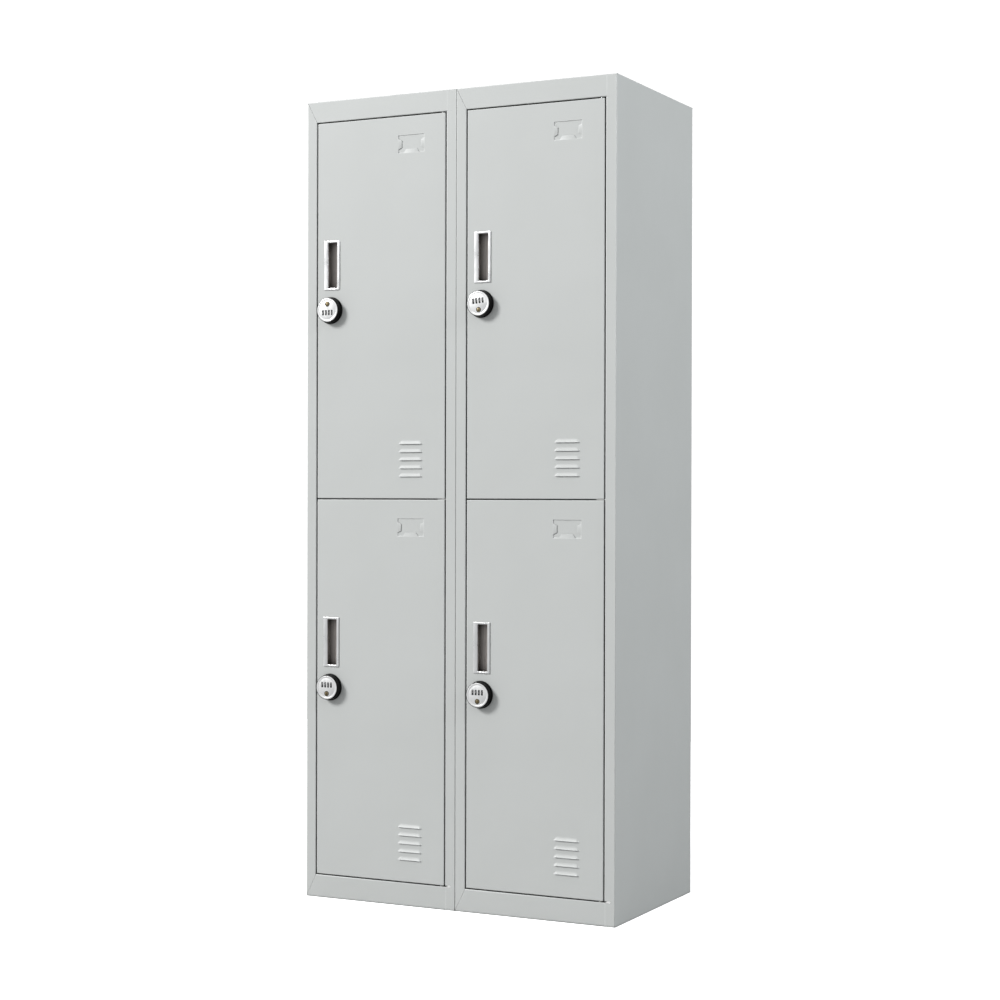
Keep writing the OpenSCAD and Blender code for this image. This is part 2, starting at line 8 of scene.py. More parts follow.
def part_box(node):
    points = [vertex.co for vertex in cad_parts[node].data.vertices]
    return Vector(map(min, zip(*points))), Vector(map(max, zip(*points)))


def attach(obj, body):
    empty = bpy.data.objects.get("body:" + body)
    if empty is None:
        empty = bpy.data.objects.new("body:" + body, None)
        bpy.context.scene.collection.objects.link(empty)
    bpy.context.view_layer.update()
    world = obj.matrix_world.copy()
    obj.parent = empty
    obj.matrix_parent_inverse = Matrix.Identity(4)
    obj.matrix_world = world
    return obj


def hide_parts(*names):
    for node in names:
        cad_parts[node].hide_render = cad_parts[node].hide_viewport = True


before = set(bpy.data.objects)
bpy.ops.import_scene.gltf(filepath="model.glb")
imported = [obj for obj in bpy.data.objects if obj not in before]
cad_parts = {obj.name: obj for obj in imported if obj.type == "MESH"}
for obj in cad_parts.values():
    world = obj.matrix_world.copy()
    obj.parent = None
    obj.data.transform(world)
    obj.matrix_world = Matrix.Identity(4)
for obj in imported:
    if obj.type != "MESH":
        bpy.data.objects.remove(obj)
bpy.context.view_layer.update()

MM = 0.001
DOORS = ["upper_left", "lower_left", "upper_right", "lower_right"]
SHEET = 0.8
FOLD_R = 2.0
RUNNING_FIT = 0.06

# Door, in mm from its left edge and its bottom
HANDLE_INSET = 39.0
HANDLE_RISE = 104.5
CUP_SHIFT = 2.1
LOCK_INSET = 36.0
VENT_INSET = 248.0
PIVOT_INSET = 9.0
PIVOT_DEPTH = 6.0
PIVOT_R = 2.56
RETURN_LIP = 14.0
LOUVRE_COUNT = 5
LOUVRE_FOOT = 50.2
LOUVRE_PITCH = 18.5
LOUVRE_OUT = 3.0
LOUVRE_W = 62.0
LOUVRE_TOP_W = 50.0
LOUVRE_H = 8.5
LOUVRE_END = 4.5
CARD_W = 68.0
CARD_H = 41.0
CARD_DEEP = 1.5
CARD_DROP = 42.8
CARD_EDGE = 1.4
TONGUE_REACH = 9.0

# Pull handle
HANDLE_W = 42.0
HANDLE_H = 115.0
HANDLE_PROUD = 1.8
CUP_W = 24.0
CUP_H = 105.0
CUP_DEEP = 14.2
CUP_WALL = 1.4
FINGER_GRIP = 5.0

# Combination lock, y forward of the door is negative
BASE_R = 31.0
BASE_T = 3.0
BARREL_R = 11.0
BARREL_END = 17.0
NUT_APOTHEM = 13.86
NUT_CORNER_R = 16.0
NUT_T = 5.0
SPINDLE_R = 5.0
SPINDLE_END = 20.8
KNOB_REAR = -3.2
FACE_Y = -16.4
FACE_R = 27.0
FACE_T = 1.2
FACE_RIM = 1.0
KNOB_REAR_R = 29.5
WHEEL_R = 6.35
WHEEL_W = 4.4
WHEEL_PITCH = 7.8
WHEEL_RISE = 6.0
WHEEL_Y = -10.6
POCKET_W = 4.8
POCKET_R = WHEEL_R + 0.3
AXLE_R = 1.25
AXLE_REACH = 16.5
FIGURE_H = 3.1
WINDOW_W = 4.8
WINDOW_H = 12.0
KEY_DROP = 14.0
KEY_R = 6.0
CAM_T = 2.0
CAM_REACH = 38.0
CAM_TIP_R = 7.0
CAM_HUB_R = 9.0
CAM_SQUARE = 7.0

# Studio: brightness of the surroundings on the two sides, and of the floor as a source of light
# and as it is seen
WORLD_LEFT = 0.8
WORLD_RIGHT = 0.12
FLOOR_BOUNCE = 0.26
FLOOR_GLOW = 0.75


# ---- Mesh helpers ----

def to_object(bm, name, materials, sharp=35.0):
    """Turns a bmesh in millimetres into a linked, smooth-shaded object in metres."""
    bmesh.ops.scale(bm, vec=(MM, MM, MM), verts=bm.verts)
    mesh = bpy.data.meshes.new(name)
    bm.to_mesh(mesh)
    bm.free()
    for material in materials:
        mesh.materials.append(material)
    obj = bpy.data.objects.new(name, mesh)
    bpy.context.scene.collection.objects.link(obj)
    shade(mesh, sharp)
    return obj


def shade(mesh, sharp):
    """Smooth shading with hard edges where faces meet at more than sharp degrees."""
    mesh.shade_smooth()
    mesh.set_sharp_from_angle(angle=math.radians(sharp))


def apply_modifiers(obj, sharp=35.0):
    """Replaces the object's mesh by the result of its modifiers."""
    depsgraph = bpy.context.evaluated_depsgraph_get()
    mesh = bpy.data.meshes.new_from_object(obj.evaluated_get(depsgraph))
    obj.modifiers.clear()
    obj.data = mesh
    shade(mesh, sharp)
    return obj


def add_bevel(obj, width, segments=2, angle=30.0):
    bevel = obj.modifiers.new("edge", "BEVEL")
    bevel.width = width * MM
    bevel.segments = segments
    bevel.limit_method = "ANGLE"
    bevel.angle_limit = math.radians(angle)
    bevel.use_clamp_overlap = True
    return obj


def cut(obj, cutters):
    """Takes the cutters away from the object, and removes them."""
    for cutter in cutters:
        boolean = obj.modifiers.new("cut", "BOOLEAN")
        boolean.operation = "DIFFERENCE"
        boolean.solver = "EXACT"
        boolean.object = cutter
    apply_modifiers(obj)
    for cutter in cutters:
        bpy.data.objects.remove(cutter)
    return obj


def stitch(bm, rows, closed, material=0):
    """Quads between consecutive rows of vertices. A closed row joins its end to its start."""
    for k in range(len(rows) - 1):
        a, b = rows[k], rows[k + 1]
        count = len(a)
        for i in range(count if closed else count - 1):
            j = (i + 1) % count
            corners = [a[i], a[j], b[j], b[i]]
            unique = [v for n, v in enumerate(corners) if v not in corners[:n]]
            if len(unique) > 2:
                face = bm.faces.new(unique)
                face.material_index = material(k) if callable(material) else material


def lathe(bm, profile, segments=96, closed=False, material=0, axis="Y", centre=(0, 0, 0)):
    """Turns a profile of (radius, place along the axis) into a surface. A point on the axis ends it."""
    rows = []
    for radius, along in profile:
        row = []
        for k in range(1 if radius == 0 else segments):
            angle = 2 * math.pi * k / segments
            u, v = radius * math.cos(angle), radius * math.sin(angle)
            point = Vector((u, along, v) if axis == "Y" else (along, u, v))
            row.append(bm.verts.new(point + Vector(centre)))
        rows.append(row * segments if radius == 0 else row)
    if closed:
        rows.append(rows[0])
    stitch(bm, rows, True, material)


def prism(bm, outline, y0, y1):
    """An outline of (x, z) points made into a solid from y0 to y1."""
    rows = [[bm.verts.new((x, y, z)) for x, z in outline] for y in (y0, y1)]
    stitch(bm, rows, True)
    for row in rows:
        bm.faces.new(row)


def arc(centre_x, centre_z, radius, start, end, steps):
    """Points on an arc, with angles in degrees."""
    angles = [math.radians(start + (end - start) * k / steps) for k in range(steps + 1)]
    return [(centre_x + radius * math.cos(a), centre_z + radius * math.sin(a)) for a in angles]


def rounded_outline(width, height, radius, centre_x=0.0, centre_z=0.0, steps=8):
    """A rectangle with round corners as (x, z) points."""
    points = []
    for k, (sx, sz) in enumerate([(1, 1), (-1, 1), (-1, -1), (1, -1)]):
        x = centre_x + sx * (width / 2 - radius)
        z = centre_z + sz * (height / 2 - radius)
        points += arc(x, z, radius, 90 * k, 90 * k + 90, steps)
    return points


def facing_out(bm):
    bmesh.ops.remove_doubles(bm, verts=bm.verts, dist=1e-4)
    bmesh.ops.recalc_face_normals(bm, faces=bm.faces)


def smooth_step(t):
    t = min(1.0, max(0.0, t))
    return t * t * (3 - 2 * t)


# ---- Materials ----

class Nodes:
    """A short way to write a node material around one Principled shader."""

    def __init__(self, name, **sockets):
        self.material = bpy.data.materials.new(name)
        self.material.use_nodes = True
        self.tree = self.material.node_tree
        self.shader = self.tree.nodes["Principled BSDF"]
        for key, value in sockets.items():
            self.shader.inputs[key.replace("_", " ")].default_value = value
        self.coordinates = self.add("ShaderNodeTexCoord").outputs["Object"]

    def add(self, kind, inputs=None, **settings):
        node = self.tree.nodes.new(kind)
        for key, value in settings.items():
            setattr(node, key, value)
        for key, value in (inputs or {}).items():
            if isinstance(value, bpy.types.NodeSocket):
                self.tree.links.new(value, node.inputs[key])
            else:
                node.inputs[key].default_value = value
        return node

    def noise(self, scale, detail=2.0, stretch=(1, 1, 1)):
        place = self.add("ShaderNodeMapping", {"Vector": self.coordinates, "Scale": stretch})
        return self.add("ShaderNodeTexNoise", {"Vector": place.outputs["Vector"], "Scale": scale,
                                               "Detail": detail}).outputs["Fac"]

    def spread(self, value, low, high, start=0.35, end=0.65):
        """Maps a noise from start..end onto low..high."""
        return self.add("ShaderNodeMapRange", {"Value": value, "From Min": start, "From Max": end,
                                               "To Min": low, "To Max": high}).outputs["Result"]

    def mix(self, factor, a, b):
        node = self.add("ShaderNodeMix", data_type="RGBA")
        for socket, value in zip((node.inputs[0], node.inputs[6], node.inputs[7]), (factor, a, b)):
            if isinstance(value, bpy.types.NodeSocket):
                self.tree.links.new(value, socket)
            else:
                socket.default_value = value
        return node.outputs[2]

    def multiply(self, a, b):
        return self.add("ShaderNodeMath", {0: a, 1: b}, operation="MULTIPLY").outputs[0]

    def edge_mask(self, radius, sharpness):
        """Near 1 on outer edges: where the rounded normal leaves the true one."""
        rounded = self.add("ShaderNodeBevel", {"Radius": radius}, samples=4).outputs["Normal"]
        normal = self.add("ShaderNodeNewGeometry").outputs["Normal"]
        dot = self.add("ShaderNodeVectorMath", {0: rounded, 1: normal}, operation="DOT_PRODUCT")
        return self.spread(dot.outputs["Value"], 1.0, 0.0, 1 - sharpness, 0.995)

    def bump(self, height, distance, strength=1.0, normal=None):
        inputs = {"Height": height, "Distance": distance, "Strength": strength}
        if normal is not None:
            inputs["Normal"] = normal
        return self.add("ShaderNodeBump", inputs).outputs["Normal"]

    def set(self, **links):
        for key, value in links.items():
            self.tree.links.new(value, self.shader.inputs[key.replace("_", " ")])
        return self.material


def grey(level, warm=0.0):
    return (level * (1 + warm), level, level * (1 - warm), 1.0)


def powder_coat():
    """Light grey powder coat on sheet steel: fine orange peel, rubbed edges brightened further as a painted
    highlight, and painted shade in the gaps.
    """
    n = Nodes("powder_coat", Specular_IOR_Level=0.4)
    base = n.mix(n.spread(n.noise(5.0), 0.0, 1.0), (0.592, 0.606, 0.594, 1), (0.606, 0.62, 0.609, 1))
    base = n.mix(n.spread(n.noise(1800.0, 1.0), 0.0, 0.25), base, (0.52, 0.535, 0.525, 1))
    # Lighter rounded edges: rubbed paint, and a painted highlight on the folds
    pale_edges = n.multiply(n.edge_mask(0.003, 0.2), n.spread(n.noise(60.0, 4.0), 0.35, 0.75, 0.4, 0.7))
    base = n.mix(pale_edges, base, (0.8, 0.81, 0.8, 1))
    # Painted shade: ambient occlusion darkens the paint nearly to black in gaps and creases
    painted_gap_shade = n.add("ShaderNodeAmbientOcclusion", {"Distance": 0.012}, samples=8).outputs["AO"]
    base = n.mix(n.spread(painted_gap_shade, 0.92, 0.0, 0.2, 0.7), base, (0.02, 0.02, 0.02, 1))
    rough = n.spread(n.noise(14.0), 0.42, 0.5)
    waves = n.bump(n.noise(6.0), 0.0004, 0.1)
    peel = n.bump(n.noise(650.0), 0.00005, 0.3, waves)
    return n.set(Base_Color=base, Roughness=rough, Normal=peel)


def brushed(name, base, dark, rough, scale=500.0, stretch=(1, 1, 0.03)):
    """Satin metal with fine lines along one way, small differences in tone, and painted shade where it stands
    close to other surfaces.
    """
    n = Nodes(name, Metallic=1.0)
    lines = n.noise(scale, 3.0, stretch)
    colour = n.mix(n.spread(lines, 0.0, 1.0, 0.3, 0.7), dark, base)
    # Painted shade: ambient occlusion darkens the metal nearly to black next to other surfaces
    painted_contact_shade = n.add("ShaderNodeAmbientOcclusion", {"Distance": 0.005}, samples=8).outputs["AO"]
    colour = n.mix(n.spread(painted_contact_shade, 0.95, 0.0, 0.3, 0.85), colour, grey(0.02))
    roughness = n.spread(n.noise(40.0, 3.0), rough - 0.05, rough + 0.07)
    return n.set(Base_Color=colour, Roughness=roughness, Normal=n.bump(lines, 0.00002, 0.3))


def dark_cup():
    """Warm grey inside of the pull, streaked lengthwise, with painted shade darkening its corners."""
    n = Nodes("cup_dark", Metallic=0.2)
    lines = n.noise(350.0, 3.0, (1, 1, 0.03))
    colour = n.mix(n.spread(lines, 0.0, 1.0, 0.3, 0.7), (0.4, 0.365, 0.345, 1), (0.52, 0.48, 0.455, 1))
    # Painted shade: ambient occlusion darkens the cup nearly to black in its corners and along its walls
    corner = n.add("ShaderNodeAmbientOcclusion", {"Distance": 0.03}, samples=8).outputs["AO"]
    colour = n.mix(n.spread(corner, 1.0, 0.0, 0.2, 0.62), colour, (0.006, 0.005, 0.005, 1))
    return n.set(Base_Color=colour, Roughness=n.spread(n.noise(60.0), 0.4, 0.55),
                 Normal=n.bump(lines, 0.00002, 0.3))


def turned_face():
    """Satin plated lock face with the faint rings of the lathe."""
    n = Nodes("lock_face_silver", Metallic=0.6)
    place = n.add("ShaderNodeSeparateXYZ", {0: n.coordinates})
    radius = n.add("ShaderNodeVectorMath", {0: n.add("ShaderNodeCombineXYZ", {
        0: place.outputs["X"], 1: place.outputs["Z"]}).outputs[0]}, operation="LENGTH")
    along = n.add("ShaderNodeCombineXYZ", {0: radius.outputs["Value"]}).outputs[0]
    rings = n.add("ShaderNodeTexNoise", {"Vector": along, "Scale": 1400.0, "Detail": 3.0}).outputs["Fac"]
    smudge = n.noise(70.0, 3.0)
    colour = n.mix(n.spread(rings, 0.0, 1.0, 0.3, 0.7), grey(0.84), grey(0.92))
    colour = n.mix(n.spread(smudge, 0.0, 0.25), colour, grey(0.76, 0.01))
    return n.set(Base_Color=colour, Roughness=n.spread(smudge, 0.28, 0.4),
                 Normal=n.bump(rings, 0.00002, 0.25))


def moulded(name, base, light, rough, edge=0.15):
    """Plastic or dark lacquer with a fine moulded grain and paler, rubbed edges."""
    n = Nodes(name, Specular_IOR_Level=0.12)
    texture = n.noise(1500.0, 2.0)
    pale_edges = n.multiply(n.edge_mask(0.0006, 0.3), n.spread(n.noise(120.0, 3.0), 0.0, edge, 0.4, 0.7))
    colour = n.mix(n.spread(n.noise(30.0), 0.0, 1.0), base, light)
    colour = n.mix(pale_edges, colour, grey(0.2))
    roughness = n.spread(n.noise(90.0, 3.0), rough - 0.06, rough + 0.08)
    return n.set(Base_Color=colour, Roughness=roughness, Normal=n.bump(texture, 0.00003, 0.4))


def printed_white():
    n = Nodes("figure_white")
    colour = n.mix(n.spread(n.noise(900.0), 0.0, 1.0), grey(0.66), grey(0.54))
    return n.set(Base_Color=colour, Roughness=n.spread(n.noise(300.0), 0.4, 0.55))


def zinc():
    """Zinc plating: cool grey with a cloudy, slightly yellow bloom."""
    n = Nodes("zinc_plate", Metallic=0.95)
    cloud = n.noise(180.0, 4.0)
    colour = n.mix(n.spread(cloud, 0.0, 1.0), (0.56, 0.57, 0.58, 1), (0.68, 0.67, 0.62, 1))
    return n.set(Base_Color=colour, Roughness=n.spread(n.noise(90.0), 0.28, 0.45),
                 Normal=n.bump(n.noise(1200.0), 0.00002, 0.3))


def chrome():
    n = Nodes("chrome_tube", Metallic=1.0)
    smear = n.noise(30.0, 4.0, (0.15, 1, 1))
    colour = n.mix(n.spread(smear, 0.0, 1.0), grey(0.8), grey(0.74))
    return n.set(Base_Color=colour, Roughness=n.spread(smear, 0.08, 0.2))


def pale_floor():
    """White where it is seen, and greyer as a source of light from below, as over a studio table."""
    n = Nodes("pale_floor", Emission_Color=(1, 1, 1, 1))
    colour = n.mix(n.spread(n.noise(2.0), 0.0, 1.0), grey(0.93), grey(0.91))
    seen = n.add("ShaderNodeLightPath").outputs["Is Camera Ray"]
    return n.set(Base_Color=n.mix(seen, grey(FLOOR_BOUNCE), colour),
                 Emission_Strength=n.multiply(seen, FLOOR_GLOW),
                 Roughness=n.spread(n.noise(5.0), 0.7, 0.85))


PAINT = powder_coat()
HANDLE = brushed("handle_satin", grey(0.9), grey(0.8), 0.3)
CUP = dark_cup()
FACE = turned_face()
BLACK = moulded("lock_black", grey(0.003), grey(0.006), 0.45, edge=0.1)
WHEEL = moulded("wheel_black", grey(0.02), grey(0.03), 0.25, edge=0.05)
WHITE = printed_white()
BRASS = brushed("key_brass", (0.3, 0.24, 0.14, 1), (0.2, 0.155, 0.09, 1), 0.4, 900.0, (1, 1, 1))
RING = moulded("key_ring_dark", (0.05, 0.045, 0.035, 1), (0.08, 0.07, 0.05, 1), 0.35)
ZINC = zinc()
CHROME = chrome()
SOCKET = moulded("socket_grey", grey(0.28), grey(0.33), 0.5)


# ---- Door sheet ----

def grid_lines(*groups):
    """Sorted grid lines without near doubles."""
    lines = []
    for value in sorted(v for group in groups for v in group):
        if not lines or value - lines[-1] > 0.05:
            lines.append(value)
    return lines


def around(centre, offsets):
    return [centre + sign * o for o in offsets for sign in (-1, 1)]


def louvre_height(u, v):
    """How far a louvre stands out, u from its middle and v above its lip."""
    half = LOUVRE_W / 2 - (LOUVRE_W - LOUVRE_TOP_W) / 2 * v / LOUVRE_H
    end = smooth_step((half - abs(u)) / LOUVRE_END)
    return LOUVRE_OUT * end * max(0.0, 1 - v / LOUVRE_H) ** 1.7


def card_depth(u, v):
    """How far the card holder is pressed in, u and v from its middle."""
    inside = min(CARD_W / 2 - abs(u), CARD_H / 2 - abs(v))
    return CARD_DEEP * smooth_step(inside / CARD_EDGE)


class DoorSheet:
    """One folded door: a grid for the pressed front, and rings round its rim for folds and walls."""

    def __init__(self, width, height, depth):
        self.w, self.h, self.d = width, height, depth
        self.lips = [LOUVRE_FOOT + LOUVRE_PITCH * k for k in range(LOUVRE_COUNT)]
        self.card_z = height - CARD_DROP - CARD_H / 2
        self.cup = (HANDLE_INSET + CUP_SHIFT - FINGER_GRIP / 2, height / 2 + HANDLE_RISE)
        self.lock = (LOCK_INSET, height / 2)
        half_cup = ((CUP_W + FINGER_GRIP) / 2 + CUP_WALL + 0.2, CUP_H / 2 + CUP_WALL + 0.2)
        self.cup_hole = (self.cup[0] - half_cup[0], self.cup[0] + half_cup[0],
                         self.cup[1] - half_cup[1], self.cup[1] + half_cup[1])
        self.barrel_r = BARREL_R + 0.2
        ring = [self.barrel_r * f for f in (0, 0.38, 0.71, 1)]
        edge = [CARD_EDGE * f for f in (-0.4, 0, 0.2, 0.4, 0.6, 0.8, 1.0, 1.4)]
        ends = [LOUVRE_W / 2 - k for k in (-1, 0, 1, 2, 3, 4, 5, 6, 7, 8.5, 10, 11.5)]
        # The last numbers in each list divide the plain stretches between the features
        self.xs = grid_lines(
            [FOLD_R, width - FOLD_R], self.cup_hole[:2], around(self.lock[0], ring),
            around(VENT_INSET, [0, 8, 14] + ends + [CARD_W / 2 - e for e in edge]),
            around(width - PIVOT_INSET, [PIVOT_R, PIVOT_R * 0.7, 0]), [90, 137, 180])
        rise = [0, 0.5, 1.1, 1.8, 2.6, 3.5, 4.5, 5.5, 6.5, 7.5, LOUVRE_H, 9.5]
        self.zs = grid_lines(
            [FOLD_R, height - FOLD_R], [z + r for z in self.lips for r in [-1] + rise],
            around(self.lock[1], ring), self.cup_hole[2:], [200, 300, 620, 700],
            around(self.card_z, [0, 8] + [CARD_H / 2 - e for e in edge]))
        self.bm = bmesh.new()
        self.verts = {}
        self.rim_verts = {}
        self.front()
        self.rim()
        bmesh.ops.remove_doubles(self.bm, verts=self.bm.verts, dist=1e-4)

    def is_lip(self, z):
        return any(abs(z - lip) < 0.05 for lip in self.lips)

    def out(self, x, z, above):
        """How far the front stands out at a grid point; above tells the hood from the sheet below."""
        total = -card_depth(x - VENT_INSET, z - self.card_z)
        for lip in self.lips:
            if (above and z - lip > -0.05) or z - lip > 0.05:
                total += louvre_height(x - VENT_INSET, max(0.0, z - lip))
        return total

    def vertex(self, i, j, above):
        x, z = self.xs[i], self.zs[j]
        split = above and self.is_lip(z) and abs(x - VENT_INSET) < LOUVRE_W / 2 - 0.1
        key = (i, j, split)
        if key not in self.verts:
            x1, z1 = self.round_hole(x, z)
            self.verts[key] = self.bm.verts.new((x1, -self.out(x, z, split), z1))
        return self.verts[key]

    def round_hole(self, x, z):
        """Moves the rim of the square barrel hole onto a circle."""
        dx, dz = x - self.lock[0], z - self.lock[1]
        if abs(max(abs(dx), abs(dz)) - self.barrel_r) < 0.01:
            scale = self.barrel_r / math.hypot(dx, dz)
            return self.lock[0] + dx * scale, self.lock[1] + dz * scale
        return x, z

    def is_hole(self, x, z):
        x0, x1, z0, z1 = self.cup_hole
        in_cup = x0 < x < x1 and z0 < z < z1
        return in_cup or max(abs(x - self.lock[0]), abs(z - self.lock[1])) < self.barrel_r

    def front(self):
        for i in range(len(self.xs) - 1):
            for j in range(len(self.zs) - 1):
                mid = (self.xs[i] + self.xs[i + 1]) / 2, (self.zs[j] + self.zs[j + 1]) / 2
                if not self.is_hole(*mid):
                    self.bm.faces.new([self.vertex(i, j, True), self.vertex(i + 1, j, True),
                                       self.vertex(i + 1, j + 1, False), self.vertex(i, j + 1, False)])

    def rim_points(self):
        """Base points round the front with the way out from each, anticlockwise from the front."""
        x0, x1, z0, z1 = self.xs[0], self.xs[-1], self.zs[0], self.zs[-1]
        sides = [[(x, z0) for x in self.xs], [(x1, z) for z in self.zs],
                 [(x, z1) for x in reversed(self.xs)], [(x0, z) for z in reversed(self.zs)]]
        points = []
        for k, side in enumerate(sides):
            heading = math.radians(90 * k - 90)
            points += [(p, (math.cos(heading), math.sin(heading)), k) for p in side[:-1]]
            turn = [heading + math.radians(a) for a in (0, 22.5, 45, 67.5)]
            points += [(side[-1], (math.cos(a), math.sin(a)), -1) for a in turn]
        return points

    def rim(self):
        points = self.rim_points()
        fold = [math.radians(a) for a in (0, 15, 30, 45, 60, 75, 90)]
        levels = [(FOLD_R * math.sin(a), FOLD_R * (1 - math.cos(a))) for a in fold]
        walls = around(PIVOT_DEPTH, [PIVOT_R, PIVOT_R * 0.7, 0]) + [12.0, self.d - FOLD_R]
        levels += [(FOLD_R, y) for y in grid_lines(walls)]
        straight = levels + [(FOLD_R, self.d)]
        lip = [(FOLD_R * math.cos(a), self.d - FOLD_R + FOLD_R * math.sin(a)) for a in fold[1:]]
        lip += [(FOLD_R - RETURN_LIP, self.d)]
        self.ring_faces(points, straight, lambda side: side not in (1, 3))
        self.ring_faces(points, levels + lip, lambda side: side in (1, 3))

    def ring_faces(self, points, levels, wanted):
        """Walls for the wanted sides of the rim; a corner belongs to the top and the bottom."""
        count = len(points)
        for k in range(count):
            a, b = points[k], points[(k + 1) % count]
            side = a[2] if a[2] == b[2] or b[2] == -1 else -1
            if not wanted(side):
                continue
            strip = [[self.rim_vertex(p, level) for level in levels] for p in (a, b)]
            for n in range(len(levels) - 1):
                if self.is_pivot_hole(a, b, levels[n], levels[n + 1]):
                    continue
                corners = [strip[0][n], strip[0][n + 1], strip[1][n + 1], strip[1][n]]
                unique = [v for m, v in enumerate(corners) if v not in corners[:m]]
                if len(unique) > 2:
                    self.bm.faces.new(unique)

    def rim_vertex(self, point, level):
        (x, z), (dx, dz), side = point
        reach, y = level
        px, pz = x + dx * reach, z + dz * reach
        if side in (0, 2):
            px, y = self.round_pivot(px, y)
        key = (round(px, 3), round(y, 3), round(pz, 3))
        if key not in self.rim_verts:
            self.rim_verts[key] = self.bm.verts.new((px, y, pz))
        return self.rim_verts[key]

    def round_pivot(self, x, y):
        dx, dy = x - (self.w - PIVOT_INSET), y - PIVOT_DEPTH
        if abs(max(abs(dx), abs(dy)) - PIVOT_R) < 0.01:
            scale = PIVOT_R / math.hypot(dx, dy)
            return x - dx + dx * scale, y - dy + dy * scale
        return x, y

    def is_pivot_hole(self, a, b, low, high):
        mid_x = (a[0][0] + b[0][0]) / 2 - (self.w - PIVOT_INSET)
        mid_y = (low[1] + high[1]) / 2 - PIVOT_DEPTH
        return a[2] in (0, 2) and low[0] == FOLD_R and max(abs(mid_x), abs(mid_y)) < PIVOT_R


def thicken(obj, thickness, sharp):
    """Gives a sheet its thickness behind its outer face, and keeps its flat parts flat in shading."""
    solid = obj.modifiers.new("sheet", "SOLIDIFY")
    solid.thickness = thickness * MM
    solid.offset = -1
    solid.use_even_offset = True
    apply_modifiers(obj, sharp)
    normals = obj.modifiers.new("flat_faces", "WEIGHTED_NORMAL")
    normals.weight = 100
    normals.keep_sharp = True


def tongue(bm, base, tip, place):
    """One lanced tongue of the card holder, growing up from its base, flush with the door."""
    outline = [(-base / 2, 0.0), (base / 2, 0.0)]
    outline += arc(tip / 2 - 1.5, TONGUE_REACH - 1.5, 1.5, 35, 90, 4)
    outline += arc(1.5 - tip / 2, TONGUE_REACH - 1.5, 1.5, 90, 145, 4)
    part = bmesh.new()
    prism(part, outline, 0.0, SHEET)
    bmesh.ops.recalc_face_normals(part, faces=part.faces)
    rim = [e for e in part.edges
           if all(v.co.y < 0.01 for v in e.verts) and any(v.co.z > 0.01 for v in e.verts)]
    bmesh.ops.bevel(part, geom=rim, offset=0.3, segments=3, affect="EDGES", profile=0.5)
    part.transform(place)
    mesh = bpy.data.meshes.new("tongue")
    part.to_mesh(mesh)
    part.free()
    bm.from_mesh(mesh)
    bpy.data.meshes.remove(mesh)


def card_tongues(sheet):
    """The three tongues that hold the card: left, right and bottom."""
    bm = bmesh.new()
    centre = Vector((VENT_INSET, 0, sheet.card_z))
    sides = [(41.0, 29.0, Vector((0, 0, -CARD_H / 2)), 0),
             (25.0, 17.0, Vector((-CARD_W / 2, 0, 0)), 90),
             (25.0, 17.0, Vector((CARD_W / 2, 0, 0)), -90)]
    for base, tip, offset, turn in sides:
        place = Matrix.Translation(centre + offset) @ Matrix.Rotation(math.radians(turn), 4, "Y")
        tongue(bm, base, tip, place)
    return bm


# ---- Pull handle ----

def pull_handle_mesh():
    """Flange, rolled mouth and cup as one closed skin of rings, from the back of the cup inwards."""
    bm = bmesh.new()
    cavity_x = CUP_SHIFT - FINGER_GRIP / 2
    cavity_w = CUP_W + FINGER_GRIP
    outer_w, outer_h = cavity_w + 2 * CUP_WALL, CUP_H + 2 * CUP_WALL
    back = CUP_DEEP + CUP_WALL
    rings = [
        (outer_w - 3, outer_h - 3, 1.4, cavity_x, back),
        (outer_w - 0.9, outer_h - 0.9, 2.4, cavity_x, back - 0.5),
        (outer_w, outer_h, 2.9, cavity_x, back - 1.8),
        (outer_w, outer_h, 2.9, cavity_x, 0.0),
        (HANDLE_W, HANDLE_H, 1.5, 0.0, 0.0),
        (HANDLE_W, HANDLE_H, 1.5, 0.0, -0.7),
        (HANDLE_W - 0.2, HANDLE_H - 0.2, 1.5, 0.0, -1.15),
        (HANDLE_W - 0.7, HANDLE_H - 0.7, 1.4, 0.0, -1.5),
        (HANDLE_W - 1.5, HANDLE_H - 1.5, 1.2, 0.0, -1.72),
        (HANDLE_W - 2.6, HANDLE_H - 2.6, 1.0, 0.0, -HANDLE_PROUD),
        (CUP_W + 2.2, CUP_H + 2.2, 2.6, CUP_SHIFT, -HANDLE_PROUD),
        (CUP_W + 1.2, CUP_H + 1.2, 2.1, CUP_SHIFT, -1.65),
        (CUP_W + 0.4, CUP_H + 0.4, 1.7, CUP_SHIFT, -1.25),
        (CUP_W, CUP_H, 1.5, CUP_SHIFT, -0.6),
        (CUP_W, CUP_H, 1.5, CUP_SHIFT, 0.8),
        (cavity_w, CUP_H, 1.5, cavity_x, 0.85),
        (cavity_w, CUP_H, 1.5, cavity_x, CUP_DEEP - 1.5),
        (cavity_w - 0.3, CUP_H - 0.3, 1.4, cavity_x, CUP_DEEP - 0.7),
        (cavity_w - 1.2, CUP_H - 1.2, 1.2, cavity_x, CUP_DEEP - 0.2),
        (cavity_w - 2.4, CUP_H - 2.4, 1.0, cavity_x, CUP_DEEP),
    ]
    rows = []
    for width, height, radius, centre_x, y in rings:
        outline = rounded_outline(width, height, radius, centre_x)
        rows.append([bm.verts.new((x, y, z)) for x, z in outline])
    first_dark = 14
    stitch(bm, rows, True, lambda k: 1 if k >= first_dark else 0)
    bm.faces.new(rows[0])
    bm.faces.new(rows[-1]).material_index = 1
    bmesh.ops.recalc_face_normals(bm, faces=bm.faces)
    return bm


# ---- Combination lock ----

